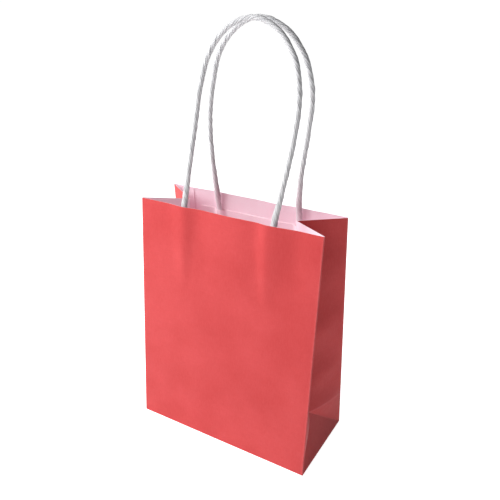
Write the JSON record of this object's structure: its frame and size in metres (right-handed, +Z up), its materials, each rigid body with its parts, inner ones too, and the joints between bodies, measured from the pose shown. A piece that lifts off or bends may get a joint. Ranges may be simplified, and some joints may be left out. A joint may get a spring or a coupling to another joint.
{
  "type": "paper gift bag",
  "caption": "Small open-topped paper gift bag with folded side gussets, a folded flat bottom and a twisted paper cord loop on each face.",
  "frame": {"origin": "middle of the bottom, on the surface the bag stands on", "axes": "+Z up, towards the handles; -Y out of the front panel; +X to the right as the front is seen"},
  "size_m": [0.119, 0.0568, 0.2526],
  "materials": {
    "printed_paper": "coral red satin print outside, uncoated white inside",
    "patch_paper": "uncoated white kraft",
    "twisted_cord": "white paper cord, twisted"
  },
  "bodies": {
    "base": {"bottom_front_flap": "printed_paper", "bottom_back_flap": "printed_paper", "bottom_left_tuck": "printed_paper", "bottom_right_tuck": "printed_paper"},
    "front_panel": {"front_panel": "printed_paper", "front_patch_backing": "patch_paper", "front_patch_cover": "patch_paper", "front_cord_end_a": "twisted_cord", "front_cord_end_b": "twisted_cord"},
    "front_handle": {"front_handle": "twisted_cord"},
    "back_panel": {"back_panel": "printed_paper", "back_patch_backing": "patch_paper", "back_patch_cover": "patch_paper", "back_cord_end_a": "twisted_cord", "back_cord_end_b": "twisted_cord", "side_seam": "printed_paper"},
    "back_handle": {"back_handle": "twisted_cord"},
    "right_foot": {"right_gusset_foot": "printed_paper"},
    "right_front_corner": {"right_gusset_front_corner": "printed_paper"},
    "right_front_half": {"right_gusset_front_half": "printed_paper"},
    "right_back_corner": {"right_gusset_back_corner": "printed_paper"},
    "right_back_half": {"right_gusset_back_half": "printed_paper"},
    "left_foot": {"left_gusset_foot": "printed_paper"},
    "left_front_corner": {"left_gusset_front_corner": "printed_paper"},
    "left_front_half": {"left_gusset_front_half": "printed_paper"},
    "left_back_corner": {"left_gusset_back_corner": "printed_paper"},
    "left_back_half": {"left_gusset_back_half": "printed_paper"}
  },
  "joints": [
    {"name": "front_panel_open", "type": "hinge", "parent": "base", "child": "front_panel", "pos_m": [0, -0.0285, 0], "axis": [1, 0, 0], "range_deg": [0, 4.33]},
    {"name": "back_panel_open", "type": "hinge", "parent": "base", "child": "back_panel", "pos_m": [0, 0.0285, 0], "axis": [-1, 0, 0], "range_deg": [0, 4.33]},
    {"name": "right_foot_fold", "type": "hinge", "parent": "base", "child": "right_foot", "pos_m": [0.0595, 0, 0], "axis": [0, 1, 0], "range_deg": [0, 17.6]},
    {"name": "right_front_corner_fold", "type": "hinge", "parent": "front_panel", "child": "right_front_corner", "pos_m": [0.0595, -0.0285, 0], "axis": [0, -0.082, -0.9966], "range_deg": [0, 15.28]},
    {"name": "right_front_half_fold", "type": "hinge", "parent": "front_panel", "child": "right_front_half", "pos_m": [0.0595, -0.0285, 0], "axis": [0, -0.082, -0.9966], "range_deg": [0, 40.22]},
    {"name": "right_back_corner_fold", "type": "hinge", "parent": "back_panel", "child": "right_back_corner", "pos_m": [0.0595, 0.0285, 0], "axis": [0, -0.082, 0.9966], "range_deg": [0, 15.28]},
    {"name": "right_back_half_fold", "type": "hinge", "parent": "back_panel", "child": "right_back_half", "pos_m": [0.0595, 0.0285, 0], "axis": [0, -0.082, 0.9966], "range_deg": [0, 40.22]},
    {"name": "left_foot_fold", "type": "hinge", "parent": "base", "child": "left_foot", "pos_m": [-0.0595, 0, 0], "axis": [0, -1, 0], "range_deg": [0, 17.6]},
    {"name": "left_front_corner_fold", "type": "hinge", "parent": "front_panel", "child": "left_front_corner", "pos_m": [-0.0595, -0.0285, 0], "axis": [0, 0.082, 0.9966], "range_deg": [0, 15.28]},
    {"name": "left_front_half_fold", "type": "hinge", "parent": "front_panel", "child": "left_front_half", "pos_m": [-0.0595, -0.0285, 0], "axis": [0, 0.082, 0.9966], "range_deg": [0, 40.22]},
    {"name": "left_back_corner_fold", "type": "hinge", "parent": "back_panel", "child": "left_back_corner", "pos_m": [-0.0595, 0.0285, 0], "axis": [0, 0.082, -0.9966], "range_deg": [0, 15.28]},
    {"name": "left_back_half_fold", "type": "hinge", "parent": "back_panel", "child": "left_back_half", "pos_m": [-0.0595, 0.0285, 0], "axis": [0, 0.082, -0.9966], "range_deg": [0, 40.22]},
    {"name": "front_handle_swing", "type": "hinge", "parent": "front_panel", "child": "front_handle", "pos_m": [0, -0.0133, 0.15177], "axis": [1, 0, 0], "range_deg": [0, 110]},
    {"name": "back_handle_swing", "type": "hinge", "parent": "back_panel", "child": "back_handle", "pos_m": [0, 0.0133, 0.15177], "axis": [-1, 0, 0], "range_deg": [0, 110]}
  ],
  "couplings": [
    {"joint": "back_panel_open", "follows": "front_panel_open", "ratio": 1},
    {"joint": "right_foot_fold", "follows": "front_panel_open", "ratio": 4.061},
    {"joint": "right_front_corner_fold", "follows": "front_panel_open", "ratio": 3.526},
    {"joint": "right_front_half_fold", "follows": "front_panel_open", "ratio": 9.285},
    {"joint": "right_back_corner_fold", "follows": "front_panel_open", "ratio": 3.526},
    {"joint": "right_back_half_fold", "follows": "front_panel_open", "ratio": 9.285},
    {"joint": "left_foot_fold", "follows": "front_panel_open", "ratio": 4.061},
    {"joint": "left_front_corner_fold", "follows": "front_panel_open", "ratio": 3.526},
    {"joint": "left_front_half_fold", "follows": "front_panel_open", "ratio": 9.285},
    {"joint": "left_back_corner_fold", "follows": "front_panel_open", "ratio": 3.526},
    {"joint": "left_back_half_fold", "follows": "front_panel_open", "ratio": 9.285}
  ]
}
